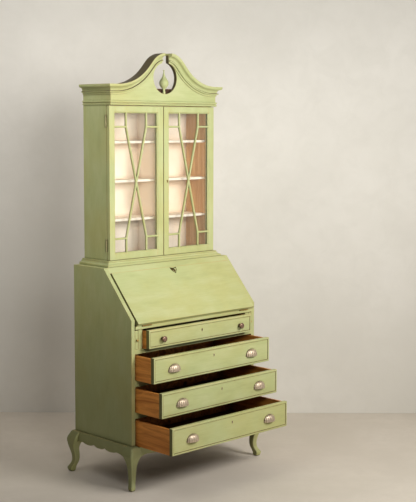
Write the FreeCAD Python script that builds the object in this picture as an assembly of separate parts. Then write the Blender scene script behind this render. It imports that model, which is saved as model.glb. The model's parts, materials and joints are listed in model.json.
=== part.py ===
import FreeCAD, Part
import math
import os

# A slant-front secretary desk with a glazed bookcase and a swan-neck pediment.
# Millimetres, +Z up, the front faces -Y. The desk is drawn with the back of its case on
# Y = 0 and is moved at the end, so that the origin is under the middle of its footprint.

Vector = FreeCAD.Vector
X_AXIS = Vector(1, 0, 0)
Y_AXIS = Vector(0, 1, 0)
Z_AXIS = Vector(0, 0, 1)

# ---- driving dimensions ---------------------------------------------------------------
CASE_WIDTH = 860
CASE_DEPTH = 442
SIDE_THICK = 22
BACK_THICK = 8
BASE_TOP = 215
SLANT_FOOT = 833
DESK_TOP = 1068
DESK_TOP_DEPTH = 235
DESK_TOP_THICK = 25
RUNNING_GAP = 0.5
EDGE_GAP = 1.5

# Drawer number: (bottom, top, half width, how far it stands open at rest)
DRAWERS = {
    1: (691, 782.5, 359, 47),
    2: (540, 665.5, 405.5, 133),
    3: (381, 503.5, 405.5, 190),
    4: (215.5, 346.5, 405.5, 262),
}
FRONT_THICK = 20
DRAWER_SIDE_THICK = 12
DRAWER_BOTTOM_THICK = 6
DRAWER_LENGTH = 415
BEAD_WIDTH = 9
QUIRK_WIDTH = 2.2
QUIRK_DEPTH = 5
FIELD_DEPTH = 1.5
PULL_OFFSET = 271

BED_BOTTOM = 788
BED_TOP = 804
BED_LIP = 8
FALL_THICK = 20
FALL_PROUD = 8
FALL_LENGTH = 303
FALL_END_GAP = 3

LOPER_INNER = 387
LOPER_OUTER = 406.6
LOPER_TOP = 782.5
LOPER_LENGTH = 410
LOPER_GAP = 1.4

BOOKCASE_WIDTH = 722
BOOKCASE_BOTTOM = 1097
BOOKCASE_FRONT = 180
BOOKCASE_SIDE_THICK = 18
FRIEZE_BOTTOM = 1866
BOARD_BACK = 194
BOARD_FRONT = 214
SIDE_TOP = 1960
SHELF_TOPS = (1298, 1493, 1689)
SHELF_THICK = 12
SHELF_FRONT = 155
PARTITION_THICK = 18

DOOR_THICK = 20
DOOR_BACK = 182
STILE_WIDTH = 40
RAIL_WIDTH = 36
SIGHT_BEVEL = 7
BAR_WIDTH = 10
BAR_FLAT = 4
BAR_SHOULDER = (0.52, 0.27)
BAR_OFFSET = 67
BAR_JOINT_TOP = 1760
BAR_JOINT_BOTTOM = 1203

CROWN_TOP = 1969
CROWN_OUT = 27
CROWN_HEIGHT = 50
CAP_THICK = 9
CAP_DEPTH = 61
NECK_PEAK_X = 10
NECK_PEAK = 2131
NECK_END = 23
NECK_RADIUS = 125
NECK_ANGLE = math.radians(48)
SWEEP_RADIUS = 270
HOLE_RADIUS = 80
HOLE_CENTRE = 2006

APRON_PROUD = 12
APRON_THICK = 20
APRON_END_GAP = 22
APRON_EAR = 138
APRON_LOBE_END = 166
APRON_DIP = 159
APRON_PEAK = 170
FRONT_EAR_WIDTH = 70
FRONT_CUSP = 95
SIDE_EAR_WIDTH = 81
SIDE_CUSP = 42
SIDE_APRON_SHIFT = 16
LEG_TOP = BASE_TOP
RAIL_DEPTH = 60
RUNNER_INNER = {1: 335, 2: 384, 3: 384}
CORNER_BLOCK = 70
CORNER_BLOCK_HEIGHT = 40
CORNER_INSET = 8

HALF_CASE = CASE_WIDTH / 2
INNER = HALF_CASE - SIDE_THICK
HALF_BOOKCASE = BOOKCASE_WIDTH / 2
HALF_BAY = HALF_BOOKCASE - BOOKCASE_SIDE_THICK
BACK_FACE = -BACK_THICK

# The slant of the front, as a direction up the slope and a normal that points outward.
SLANT_RUN = CASE_DEPTH - DESK_TOP_DEPTH
SLANT_RISE = DESK_TOP - SLANT_FOOT
SLANT_ANGLE = math.atan2(SLANT_RISE, SLANT_RUN)
FALL_SWING = 180 - math.degrees(SLANT_ANGLE)

nodes = {}


# ---- small helpers --------------------------------------------------------------------
def block(x0, x1, y0, y1, z0, z1):
    """A box between two corners, given in any order."""
    low = Vector(min(x0, x1), min(y0, y1), min(z0, z1))
    return Part.makeBox(abs(x1 - x0), abs(y1 - y0), abs(z1 - z0), low)


def face_from(points, place):
    """A flat face from 2-D points, with `place` turning each one into a vector."""
    loop = [place(a, b) for a, b in points]
    loop.append(loop[0])
    return Part.Face(Part.makePolygon(loop))


def prism_yz(points, x0, x1):
    return face_from(points, lambda y, z: Vector(x0, y, z)).extrude(Vector(x1 - x0, 0, 0))


def prism_xz(points, y0, y1):
    return face_from(points, lambda x, z: Vector(x, y0, z)).extrude(Vector(0, y1 - y0, 0))


def prism_xy(points, z0, z1):
    return face_from(points, lambda x, y: Vector(x, y, z0)).extrude(Vector(0, 0, z1 - z0))


def rod(start, axis, radius, length):
    return Part.makeCylinder(radius, length, start, axis)


def mirrored(shape):
    return shape.mirror(Vector(0, 0, 0), X_AXIS)


def pair(shape):
    """The shape and its twin on the other side of the desk."""
    return [shape, mirrored(shape)]


def fused(shapes):
    return shapes[0].multiFuse(shapes[1:]).removeSplitter()


def put(name, *shapes):
    nodes[name] = shapes[0] if len(shapes) == 1 else Part.makeCompound(list(shapes))


def arc(start, middle, end):
    return Part.Arc(start, middle, end).toShape()


# ---- hinges and small metal ------------------------------------------------------------
KNUCKLE_RADIUS = 4
PIN_RADIUS = 1.6
PIN_CLEARANCE = 0.05
KNUCKLE_COUNT = 3
KNUCKLE_GAP = 0.4
KEY_RIM = 1.2


def hinge_leaf(length, own_knuckles, bore, plate_low, plate_high, plate_reach):
    """A butt hinge leaf: its pin runs up Z from the origin and its plate goes out along +X."""
    clear = KNUCKLE_RADIUS + 0.8
    step = length / KNUCKLE_COUNT
    pieces = [block(clear, plate_reach, plate_low, plate_high, 0, length)]
    for index in own_knuckles:
        z0 = index * step + KNUCKLE_GAP / 2
        z1 = (index + 1) * step - KNUCKLE_GAP / 2
        pieces.append(rod(Vector(0, 0, z0), Z_AXIS, KNUCKLE_RADIUS, z1 - z0))
        pieces.append(block(0, clear, plate_low, plate_high, z0, z1))
    return fused(pieces).cut(rod(Vector(0, 0, -1), Z_AXIS, bore, length + 2))


def hinge_pin(length):
    return rod(Vector(0, 0, 0), Z_AXIS, PIN_RADIUS, length)


def keyhole(x, front, back, z, rim=0.0):
    """A keyhole-shaped prism along Y, made larger all round by a rim."""
    eye = rod(Vector(x, back, z + 3), Vector(0, -1, 0), 2.6 + rim, back - front)
    slot = block(x - 1.3 - rim, x + 1.3 + rim, front, back, z - 6 - rim, z + 3)
    return fused([eye, slot])


def key_plate(x, face_y, z):
    """A thin keyhole-shaped lining that stands a little proud of a face that looks to -Y."""
    proud, let_in = 0.8, 3
    outer = keyhole(x, face_y - proud, face_y + let_in, z, KEY_RIM)
    return outer.cut(keyhole(x, face_y - proud - 1, face_y + let_in + 1, z))


def with_keyhole(board, x, face_y, thick, z):
    """A board with a keyhole through it and room for the keyhole's lining."""
    hole = keyhole(x, face_y - 1, face_y + thick + 1, z)
    seat = keyhole(x, face_y - 1, face_y + 3, z, KEY_RIM)
    return board.cut(fused([hole, seat]))


def turned_knob(x, face_y, z, radius, reach):
    """A mushroom knob turned about an axis that points to -Y."""
    stem = radius * 0.42
    neck = reach * 0.5
    foot = rod(Vector(0, 0, 0), Z_AXIS, radius * 0.62, reach * 0.12)
    shank = rod(Vector(0, 0, 0), Z_AXIS, stem, neck + 1)
    rim = Part.Wire([
        Part.makeLine(Vector(0, 0, neck), Vector(stem, 0, neck)),
        arc(Vector(stem, 0, neck), Vector(radius * 0.97, 0, neck + reach * 0.17),
            Vector(radius * 0.7, 0, reach * 0.92)),
        Part.makeLine(Vector(radius * 0.7, 0, reach * 0.92), Vector(0, 0, reach)),
        Part.makeLine(Vector(0, 0, reach), Vector(0, 0, neck)),
    ])
    head = Part.Face(rim).revolve(Vector(0, 0, 0), Z_AXIS, 360)
    knob = fused([foot, shank, head])
    knob.rotate(Vector(0, 0, 0), X_AXIS, 90)
    knob.translate(Vector(x, face_y, z))
    return knob


def cup_pull(x, face_y, bottom_z):
    """A shell-shaped cup pull: a hollow quarter dome on a thin back plate, open below."""
    width, reach, height, wall, plate = 39, 22, 35, 2.6, 1.4
    squash = reach / width

    def dome(radius, rise):
        profile = Part.Wire([
            arc(Vector(radius, 0, 0), Vector(radius * 0.74, 0, rise * 0.71), Vector(0, 0, rise)),
            Part.makeLine(Vector(0, 0, rise), Vector(0, 0, 0)),
            Part.makeLine(Vector(0, 0, 0), Vector(radius, 0, 0)),
        ])
        return Part.Face(profile).revolve(Vector(0, 0, 0), Z_AXIS, 360)
    front_half = block(-60, 60, -60, 0, 0, 60)
    shell = dome(width, height).cut(dome(width - wall, height - wall)).common(front_half)
    back = dome(width + 2.5, height + 2.5).common(block(-60, 60, -plate / squash, 0, 0, 60))
    pull = fused([shell, back])
    matrix = FreeCAD.Matrix()
    matrix.scale(1, squash, 1)
    pull = pull.transformGeometry(matrix)
    pull.translate(Vector(x, face_y, bottom_z))
    return pull


# ---- lower case ------------------------------------------------------------------------
def slant_y(z):
    """Y of the slanted front plane at a height."""
    return -CASE_DEPTH + SLANT_RUN * (z - SLANT_FOOT) / SLANT_RISE


def rail_spans():
    """Bottom and top of the rails that close the gaps between the drawers."""
    for upper, lower in ((1, 2), (2, 3), (3, 4)):
        yield DRAWERS[lower][1] + EDGE_GAP, DRAWERS[upper][0] - RUNNING_GAP


def make_case():
    side = prism_yz([(0, BASE_TOP), (-CASE_DEPTH, BASE_TOP), (-CASE_DEPTH, SLANT_FOOT),
                     (-DESK_TOP_DEPTH, DESK_TOP), (0, DESK_TOP)], INNER, HALF_CASE)
    put("case_sides", *pair(side))

    underside = DESK_TOP - DESK_TOP_THICK
    top = prism_yz([(0, underside), (slant_y(underside), underside),
                    (-DESK_TOP_DEPTH, DESK_TOP), (0, DESK_TOP)], -INNER, INNER)
    put("desk_top", top)
    put("case_back", block(-INNER, INNER, BACK_FACE, 0, BASE_TOP, underside))

    rails = []
    runners = []
    for number, (low, high) in zip(RUNNER_INNER, rail_spans()):
        rails.append(block(-INNER, INNER, -CASE_DEPTH, RAIL_DEPTH - CASE_DEPTH, low, high))
        runners += pair(block(RUNNER_INNER[number], INNER, RAIL_DEPTH - CASE_DEPTH, BACK_FACE,
                              low, high))
    put("drawer_rails", *rails)

    # The lowest drawer runs on strips fixed behind the side aprons, between the glue blocks.
    clear = CORNER_BLOCK + CORNER_INSET + 2
    runners += pair(block(RUNNER_INNER[3], HALF_CASE + APRON_PROUD - APRON_THICK,
                          clear - CASE_DEPTH, -clear, BASE_TOP - 24, BASE_TOP))
    put("drawer_runners", *runners)

    divider = block(DRAWERS[1][2] + 2, LOPER_INNER - LOPER_GAP, -CASE_DEPTH, BACK_FACE,
                    DRAWERS[1][0] - RUNNING_GAP, BED_BOTTOM)
    put("loper_dividers", *pair(divider))


# ---- the fall and its bed --------------------------------------------------------------
FALL_HINGE_LENGTH = 60
FALL_HINGE_X = (-370, 310)
FALL_LEAF_REACH = 26
FALL_LEAF_THICK = 2


def fall_axis():
    """Y and Z of the fall's hinge line: on the fall's inner face, level with the bed."""
    inset = FALL_THICK - FALL_PROUD
    foot_y = -CASE_DEPTH + inset * math.sin(SLANT_ANGLE)
    foot_z = SLANT_FOOT - inset * math.cos(SLANT_ANGLE)
    return foot_y - (foot_z - BED_TOP) / math.tan(SLANT_ANGLE), BED_TOP


def close_fall(shape):
    """Swing a shape drawn with the fall level up to its closed, slanted place."""
    y, z = fall_axis()
    shape.rotate(Vector(0, y, z), X_AXIS, -FALL_SWING)
    return shape


def fall_hinge_leaf(x, own_knuckles, bore, toward_back):
    """A leaf of a fall hinge in the level position, let in flush with the top face."""
    leaf = hinge_leaf(FALL_HINGE_LENGTH, own_knuckles, bore, -FALL_LEAF_THICK, 0, FALL_LEAF_REACH)
    y, z = fall_axis()
    way = 1 if toward_back else -1
    place = FreeCAD.Matrix(0, 0, 1, x, way, 0, 0, y, 0, 1, 0, z, 0, 0, 0, 1)
    return leaf.transformGeometry(place)


def fall_hinge_recess(x, toward_back):
    """The room a hinge takes out of the board it is let into."""
    y, z = fall_axis()
    reach = FALL_LEAF_REACH if toward_back else -FALL_LEAF_REACH
    knuckle = rod(Vector(x - 0.5, y, z), X_AXIS, KNUCKLE_RADIUS + 0.6, FALL_HINGE_LENGTH + 1)
    return fused([knuckle, block(x, x + FALL_HINGE_LENGTH, y, y + reach, z - FALL_LEAF_THICK, z + 1)])


def make_fall():
    y, z = fall_axis()
    bed = block(-INNER, INNER, -CASE_DEPTH - BED_LIP, BACK_FACE, BED_BOTTOM, BED_TOP)
    panel = block(-INNER + FALL_END_GAP, INNER - FALL_END_GAP, y - 0.8, y - FALL_LENGTH, z - FALL_THICK, z)
    bed_leaves = []
    fall_leaves = []
    pins = []
    for x in FALL_HINGE_X:
        bed = bed.cut(fall_hinge_recess(x, True))
        panel = panel.cut(fall_hinge_recess(x, False))
        bed_leaves.append(fall_hinge_leaf(x, (0, 2), PIN_RADIUS, True))
        fall_leaves.append(fall_hinge_leaf(x, (1,), PIN_RADIUS + PIN_CLEARANCE, False))
        pins.append(rod(Vector(x, y, z), X_AXIS, PIN_RADIUS, FALL_HINGE_LENGTH))
    put("writing_bed", bed)
    put("fall_panel", close_fall(panel))
    put("fall_hinge_bed_leaves", *bed_leaves)
    put("fall_hinge_leaves", *[close_fall(leaf) for leaf in fall_leaves])

    # A shield-shaped lock plate lies on the outer face, near the top edge.
    far = y - FALL_LENGTH
    low = z - FALL_THICK
    shield = [(-22, 4), (0, 8), (22, 4), (18, 20), (0, 42), (-18, 20)]
    plate = prism_xy([(a, far + b) for a, b in shield], low, low - 1)
    eye = rod(Vector(0, far + 19, low + 1), Vector(0, 0, -1), 2, 4)
    slot = block(-1, 1, far + 19, far + 25, low + 1, low - 2)
    put("fall_lock_plate", close_fall(plate.cut(fused([eye, slot]))))
    return pins


def make_gallery():
    """Plain pigeonholes behind the fall: one shelf with dividers above and below."""
    front = -212
    ceiling = DESK_TOP - DESK_TOP_THICK
    shelf_low, shelf_high, thick = 884, 894, 8
    boards = [block(-INNER, INNER, front, BACK_FACE, shelf_low, shelf_high)]
    upper_count, lower_count = 6, 3
    for index in range(1, upper_count):
        x = -INNER + 2 * INNER * index / upper_count
        boards.append(block(x - thick / 2, x + thick / 2, front, BACK_FACE, shelf_high, ceiling))
    for index in range(1, lower_count):
        x = -INNER + 2 * INNER * index / lower_count
        boards.append(block(x - thick / 2, x + thick / 2, front, BACK_FACE, BED_TOP, shelf_low))
    put("gallery", *boards)


def make_lopers():
    knob_z = (DRAWERS[1][0] + LOPER_TOP) / 2 - 2
    middle = (LOPER_INNER + LOPER_OUTER) / 2
    bar = block(LOPER_INNER, LOPER_OUTER, -CASE_DEPTH, LOPER_LENGTH - CASE_DEPTH,
                DRAWERS[1][0], LOPER_TOP)
    knob = turned_knob(middle, -CASE_DEPTH, knob_z, 6, 12)
    put("loper_right_bar", bar)
    put("loper_left_bar", mirrored(bar))
    put("loper_right_knob", knob)
    put("loper_left_knob", mirrored(knob))


# ---- drawers ---------------------------------------------------------------------------
def moulded_front(half, face, low, high):
    """A drawer front with a rounded bead worked round its face and a quirk inside the bead."""
    bead_round = 3
    board = block(-half, half, face, face + FRONT_THICK, low, high)
    edges = [edge for edge in board.Edges
             if abs(edge.BoundBox.YMin - face) < 0.01 and abs(edge.BoundBox.YMax - face) < 0.01]
    board = board.makeFillet(bead_round, edges)
    a, b = BEAD_WIDTH, BEAD_WIDTH + QUIRK_WIDTH
    outer = block(-half + a, half - a, face - 1, face + QUIRK_DEPTH, low + a, high - a)
    inner = block(-half + b, half - b, face - 2, face + QUIRK_DEPTH + 1, low + b, high - b)
    field = block(-half + b, half - b, face - 2, face + FIELD_DEPTH, low + b, high - b)
    return board.cut(outer.cut(inner)).cut(field)


def make_drawer(number):
    low, high, half, opening = DRAWERS[number]
    face = -CASE_DEPTH - opening
    inside = face + FRONT_THICK
    tail = face + DRAWER_LENGTH
    side_top = high - 5
    bottom_low = low + 9
    bottom_high = bottom_low + DRAWER_BOTTOM_THICK
    groove = 5

    bottom = block(-half + DRAWER_SIDE_THICK - groove, half - DRAWER_SIDE_THICK + groove,
                   inside, tail, bottom_low, bottom_high)
    side = block(half - DRAWER_SIDE_THICK, half, inside, tail, low, side_top).cut(bottom)
    back = block(-half + DRAWER_SIDE_THICK, half - DRAWER_SIDE_THICK,
                 tail - DRAWER_SIDE_THICK, tail, bottom_high, side_top)
    put("drawer_%d_box" % number, side, mirrored(side), back)
    put("drawer_%d_bottom" % number, bottom)

    field = face + FIELD_DEPTH
    middle = (low + high) / 2
    if number == 1:
        pulls = pair(turned_knob(PULL_OFFSET, field, middle - 3, 15.5, 26))
        key_height = middle + 8
    else:
        pulls = pair(cup_pull(PULL_OFFSET, field, middle - 17))
        key_height = high - 38
    front = with_keyhole(moulded_front(half, face, low, high), 0, field,
                         FRONT_THICK - FIELD_DEPTH, key_height)
    put("drawer_%d_front" % number, front)
    put("drawer_%d_pulls" % number, *pulls, key_plate(0, field, key_height))


# ---- base ------------------------------------------------------------------------------
# Sections of a cabriole leg: height, how far its middle lies outside the case corner along
# the diagonal, and how far it reaches either way along that diagonal and across it.
LEG_SECTIONS = (
    (0, 19, 15, 14), (5, 20, 18.5, 16), (13, 20.5, 21.5, 17.5), (20, 20, 22.5, 18),
    (26, 17, 21.5, 17), (35, 11, 19.5, 17), (47, 4, 18.8, 17.8), (60, 0, 19, 18.6),
    (76, -1, 19.8, 19.6), (94, 1, 21.5, 21), (114, 5.5, 24, 23.5), (134, 7.5, 29.5, 28.5),
    (152, 4.5, 37, 36), (169, -1, 45, 44), (186, -7.5, 45, 45), (202, -16, 42, 42),
    (LEG_TOP, -27, 35, 35),
)
CORNER_ROUND = 0.2


def rounded_diamond(middle, diagonal, along, across):
    """A flat wire with four blunted corners, two of them on a diagonal direction."""
    level = Vector(-diagonal.y, diagonal.x, 0)
    corners = [diagonal * along, level * across, diagonal * -along, level * -across]
    edges = []
    for before, corner, after in zip(corners[-1:] + corners[:-1], corners, corners[1:] + corners[:1]):
        start = corner + (before - corner) * CORNER_ROUND
        end = corner + (after - corner) * CORNER_ROUND
        blunt = (start + end + corner * 2) * 0.25
        edges.append(arc(middle + start, middle + blunt, middle + end))
        next_start = after + (corner - after) * CORNER_ROUND
        edges.append(Part.makeLine(middle + end, middle + next_start))
    return Part.Wire(edges)


def cabriole_leg(side_sign, end_sign, corner_y):
    """A leg under a case corner; the signs say which way the knee and foot point."""
    diagonal = Vector(side_sign, end_sign, 0).normalize()
    shrink = 1 - CORNER_ROUND / 2
    wires = []
    for height, offset, along, across in LEG_SECTIONS:
        middle = Vector(side_sign * HALF_CASE, corner_y, height) + diagonal * offset
        wires.append(rounded_diamond(middle, diagonal, along / shrink, across / shrink))
    return Part.makeLoft(wires, True, False)


def apron_edge(half_span, lobe_end, cusp):
    """The scalloped lower edge of an apron as smooth runs of points that meet in cusps."""
    ear, rise, dip, peak = APRON_EAR, APRON_LOBE_END, APRON_DIP, APRON_PEAK
    right = [
        (0, dip), (cusp * 0.6, dip + 2), (cusp, peak),
        (cusp + 0.12 * (lobe_end - cusp), dip + 5), ((cusp + lobe_end) / 2, dip),
        (cusp + 0.8 * (lobe_end - cusp), dip + 3), (lobe_end, rise),
        (lobe_end + 0.45 * (half_span - lobe_end), rise - 4), (half_span, ear),
    ]
    points = [(-a, b) for a, b in reversed(right)] + right[1:]
    cusps = [i for i, (a, b) in enumerate(points) if b in (rise, peak, ear)]
    return [points[first:last + 1] for first, last in zip(cusps, cusps[1:])]


def apron_board(half_span, lobe_end, cusp, place, thickness):
    runs = apron_edge(half_span, lobe_end, cusp)
    edges = []
    for run in runs:
        spline = Part.BSplineCurve()
        spline.interpolate([place(a, b) for a, b in run])
        edges.append(spline.toShape())
    corners = [place(*runs[-1][-1]), place(half_span, LEG_TOP), place(-half_span, LEG_TOP),
               place(*runs[0][0])]
    edges += [Part.makeLine(a, b) for a, b in zip(corners, corners[1:])]
    return Part.Face(Part.Wire(edges)).extrude(thickness)


def largest_left(shape, tools):
    """What is left of a shape when tools are taken out of it: only its largest lump."""
    rest = shape.cut(Part.makeCompound(tools))
    return max(rest.Solids, key=lambda solid: solid.Volume)


def make_base():
    front_y, back_y = -CASE_DEPTH, 0
    legs = {
        "leg_front_right": cabriole_leg(1, -1, front_y),
        "leg_front_left": cabriole_leg(-1, -1, front_y),
        "leg_back_right": cabriole_leg(1, 1, back_y),
        "leg_back_left": cabriole_leg(-1, 1, back_y),
    }
    for name, leg in legs.items():
        put(name, leg)

    out = APRON_PROUD
    front_span = HALF_CASE - APRON_END_GAP
    front_lobe_end = front_span - FRONT_EAR_WIDTH
    front = apron_board(front_span, front_lobe_end, FRONT_CUSP,
                        lambda a, z: Vector(a, front_y - out, z), Vector(0, APRON_THICK, 0))
    back = apron_board(front_span, front_lobe_end, FRONT_CUSP,
                       lambda a, z: Vector(a, out - APRON_THICK, z), Vector(0, APRON_THICK, 0))
    side_span = CASE_DEPTH / 2 - CORNER_INSET
    side_lobe_end = side_span - SIDE_EAR_WIDTH
    side_middle = SIDE_APRON_SHIFT - CASE_DEPTH / 2
    side = apron_board(side_span, side_lobe_end, SIDE_CUSP,
                       lambda a, z: Vector(HALF_CASE + out - APRON_THICK, side_middle + a, z),
                       Vector(APRON_THICK, 0, 0))
    feet = list(legs.values())
    put("aprons", *[largest_left(board, feet) for board in [front, back] + pair(side)])

    # Triangular glue blocks stiffen the corners behind the legs.
    x, size = HALF_CASE - CORNER_INSET, CORNER_BLOCK
    blocks = []
    for corner_y, step in ((front_y + CORNER_INSET, size), (back_y - CORNER_INSET, -size)):
        triangle = prism_xy([(x, corner_y), (x - size, corner_y), (x, corner_y + step)],
                            BASE_TOP - CORNER_BLOCK_HEIGHT, BASE_TOP)
        blocks += pair(largest_left(triangle, feet))
    put("corner_blocks", *blocks)


# ---- mouldings -------------------------------------------------------------------------
def run_profile(profile, place, travel):
    """Extrude a moulding profile; `place` turns (outward, height) into a vector."""
    edges = []
    for kind, *points in profile:
        spots = [place(a, b) for a, b in points]
        edges.append(arc(*spots) if kind == "arc" else Part.makeLine(*spots))
    return Part.Face(Part.Wire(edges)).extrude(travel)


def mitre_keep(half_width, front_y, back_y, low, high):
    """Solids that hold the front run and the right return of a mitred moulding."""
    out, inside = 80, 60
    front = prism_xy([(-half_width - out, front_y - out), (half_width + out, front_y - out),
                      (half_width - inside, front_y + inside),
                      (-half_width + inside, front_y + inside)], low, high)
    right = prism_xy([(half_width + out, front_y - out), (half_width + out, back_y),
                      (half_width - inside, back_y), (half_width - inside, front_y + inside)],
                     low, high)
    return front, right


def surround(profile, half_width, front_y, back_y, low, high):
    """A moulding run across the front and returned along both sides, mitred at the corners."""
    keep_front, keep_right = mitre_keep(half_width, front_y, back_y, low, high)
    reach = half_width + 100
    front = run_profile(profile, lambda a, z: Vector(-reach, front_y - a, z),
                        Vector(2 * reach, 0, 0)).common(keep_front)
    right = run_profile(profile, lambda a, z: Vector(half_width + a, front_y - 100, z),
                        Vector(0, back_y - front_y + 100, 0)).common(keep_right)
    return [front] + pair(right)


def outline(points):
    """Straight profile steps through points, closed back to the first."""
    return [("line", a, b) for a, b in zip(points, points[1:] + points[:1])]


def make_waist_moulding():
    """A stepped base moulding: a deep fillet, a cove and a small top fillet."""
    z0, z1 = DESK_TOP, BOOKCASE_BOTTOM
    steps = [
        ("line", (0, z0), (33, z0)), ("line", (33, z0), (33, z0 + 10)),
        ("line", (33, z0 + 10), (29, z0 + 12)),
        ("arc", (29, z0 + 12), (22, z0 + 15), (19, z0 + 21)),
        ("line", (19, z0 + 21), (15, z0 + 22)), ("line", (15, z0 + 22), (15, z1)),
        ("line", (15, z1), (0, z1)), ("line", (0, z1), (0, z0)),
    ]
    front_line = -BOARD_FRONT + 20
    runs = surround(steps, HALF_BOOKCASE, front_line, 0, z0 - 1, z1 + 1)
    filler = block(-HALF_BOOKCASE, HALF_BOOKCASE, -BOOKCASE_FRONT, front_line, z0, z1)
    put("waist_moulding", fused([runs[0], filler]), *runs[1:])


def make_frieze_bead():
    """Two small rounds above the doors, returned along the sides."""
    z0 = FRIEZE_BOTTOM + 1
    steps = [
        ("line", (0, z0), (2, z0)), ("arc", (2, z0), (6, z0 + 4), (2, z0 + 8)),
        ("line", (2, z0 + 8), (2, z0 + 12)),
        ("arc", (2, z0 + 12), (6.5, z0 + 17), (2, z0 + 22)),
        ("line", (2, z0 + 22), (0, z0 + 22)), ("line", (0, z0 + 22), (0, z0)),
    ]
    put("frieze_bead", *surround(steps, HALF_BOOKCASE, -BOARD_FRONT, 0, z0 - 1, z0 + 30))


def crown_profile(cap_depth):
    """The crown moulding as (outward, distance below the top): cap, cove, bead and fillet."""
    out, deep = CROWN_OUT, -CROWN_HEIGHT
    back = out - cap_depth
    return [
        ("line", (back, 0), (out, 0)), ("line", (out, 0), (out, -8)),
        ("arc", (out, -8), (out - 3, -13), (out - 8, -16)),
        ("line", (out - 8, -16), (out - 10, -16)),
        ("arc", (out - 10, -16), (out - 19, -22), (out - 21, -33)),
        ("line", (out - 21, -33), (out - 18, -33)),
        ("arc", (out - 18, -33), (out - 15, -37), (out - 18, -41)),
        ("line", (out - 18, -41), (out - 23, -41)),
        ("line", (out - 23, -41), (out - 23, deep)),
        ("line", (out - 23, deep), (0, deep)), ("line", (0, deep), (0, -CAP_THICK)),
        ("line", (0, -CAP_THICK), (back, -CAP_THICK)),
        ("line", (back, -CAP_THICK), (back, 0)),
    ]


def neck_path(drop, end_x, y):
    """The swan-neck line at a distance below its top: two arcs, a slope and a level end."""
    sine, cosine = math.sin(NECK_ANGLE), math.cos(NECK_ANGLE)
    crest = Vector(NECK_PEAK_X, y, NECK_PEAK - NECK_RADIUS)
    r1, r2 = NECK_RADIUS - drop, SWEEP_RADIUS + drop
    fall_height = NECK_PEAK - CROWN_TOP - (NECK_RADIUS + SWEEP_RADIUS) * (1 - cosine)
    run = NECK_RADIUS * sine + fall_height / math.tan(NECK_ANGLE) + SWEEP_RADIUS * sine
    sweep = Vector(NECK_PEAK_X + run, y, CROWN_TOP + SWEEP_RADIUS)

    def on_crest(angle):
        return crest + Vector(r1 * math.sin(angle), 0, r1 * math.cos(angle))

    def on_sweep(angle):
        return sweep - Vector(r2 * math.sin(angle), 0, r2 * math.cos(angle))
    full, half = NECK_ANGLE, NECK_ANGLE / 2
    return [
        arc(on_crest(0), on_crest(half), on_crest(full)),
        Part.makeLine(on_crest(full), on_sweep(full)),
        arc(on_sweep(full), on_sweep(half), on_sweep(0)),
        Part.makeLine(on_sweep(0), Vector(end_x, y, CROWN_TOP - drop)),
    ]


def make_crown():
    """Two swan-neck runs across the front, each mitred to a level return along the side."""
    end_x = HALF_BOOKCASE + 100
    path = Part.Wire(neck_path(0, end_x, -BOARD_FRONT))
    edges = []
    for kind, *points in crown_profile(CAP_DEPTH):
        spots = [Vector(NECK_PEAK_X, -BOARD_FRONT - a, NECK_PEAK + b) for a, b in points]
        edges.append(arc(*spots) if kind == "arc" else Part.makeLine(*spots))
    sweep = Part.BRepOffsetAPI.MakePipeShell(path)
    sweep.setBiNormalMode(Y_AXIS)
    sweep.add(Part.Wire(edges))
    sweep.build()
    sweep.makeSolid()
    neck = sweep.shape()
    low, high = CROWN_TOP - 90, NECK_PEAK + 20
    keep_front, keep_right = mitre_keep(HALF_BOOKCASE, -BOARD_FRONT, 0, low, high)
    inner_end = block(NECK_END, 500, -400, 100, low, high)
    neck = neck.common(keep_front).common(inner_end)
    side = run_profile(crown_profile(CROWN_OUT + BOOKCASE_SIDE_THICK),
                       lambda a, b: Vector(HALF_BOOKCASE + a, -400, CROWN_TOP + b),
                       Vector(0, 400, 0)).common(keep_right)
    side = side.cut(neck)
    put("crown_moulding", *pair(neck), *pair(side))


def make_pediment_board():
    """The board over the doors, shaped under the swan necks, with a round hole and a slot."""
    path = neck_path(CAP_THICK, HALF_BOOKCASE, -BOARD_FRONT)
    start = path[0].Vertexes[0].Point
    right_top = Vector(HALF_BOOKCASE, -BOARD_FRONT, CROWN_TOP - CAP_THICK)
    corner = Vector(HALF_BOOKCASE, -BOARD_FRONT, FRIEZE_BOTTOM)
    foot = Vector(NECK_PEAK_X, -BOARD_FRONT, FRIEZE_BOTTOM)
    edges = path + [Part.makeLine(right_top, corner), Part.makeLine(corner, foot),
                    Part.makeLine(foot, start)]
    half = Part.Face(Part.Wire(edges)).extrude(Vector(0, BOARD_FRONT - BOARD_BACK, 0))
    middle = block(-NECK_PEAK_X, NECK_PEAK_X, -BOARD_FRONT, -BOARD_BACK,
                   FRIEZE_BOTTOM, HOLE_CENTRE)
    board = fused([half, mirrored(half), middle])
    hole = rod(Vector(0, -BOARD_FRONT - 1, HOLE_CENTRE), Y_AXIS, HOLE_RADIUS, 40)
    slot = block(-NECK_END, NECK_END, -BOARD_FRONT - 1, -BOARD_BACK + 1, HOLE_CENTRE, NECK_PEAK)
    board = board.cut(hole).cut(slot)
    put("pediment_board", board)
    return board


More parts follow.
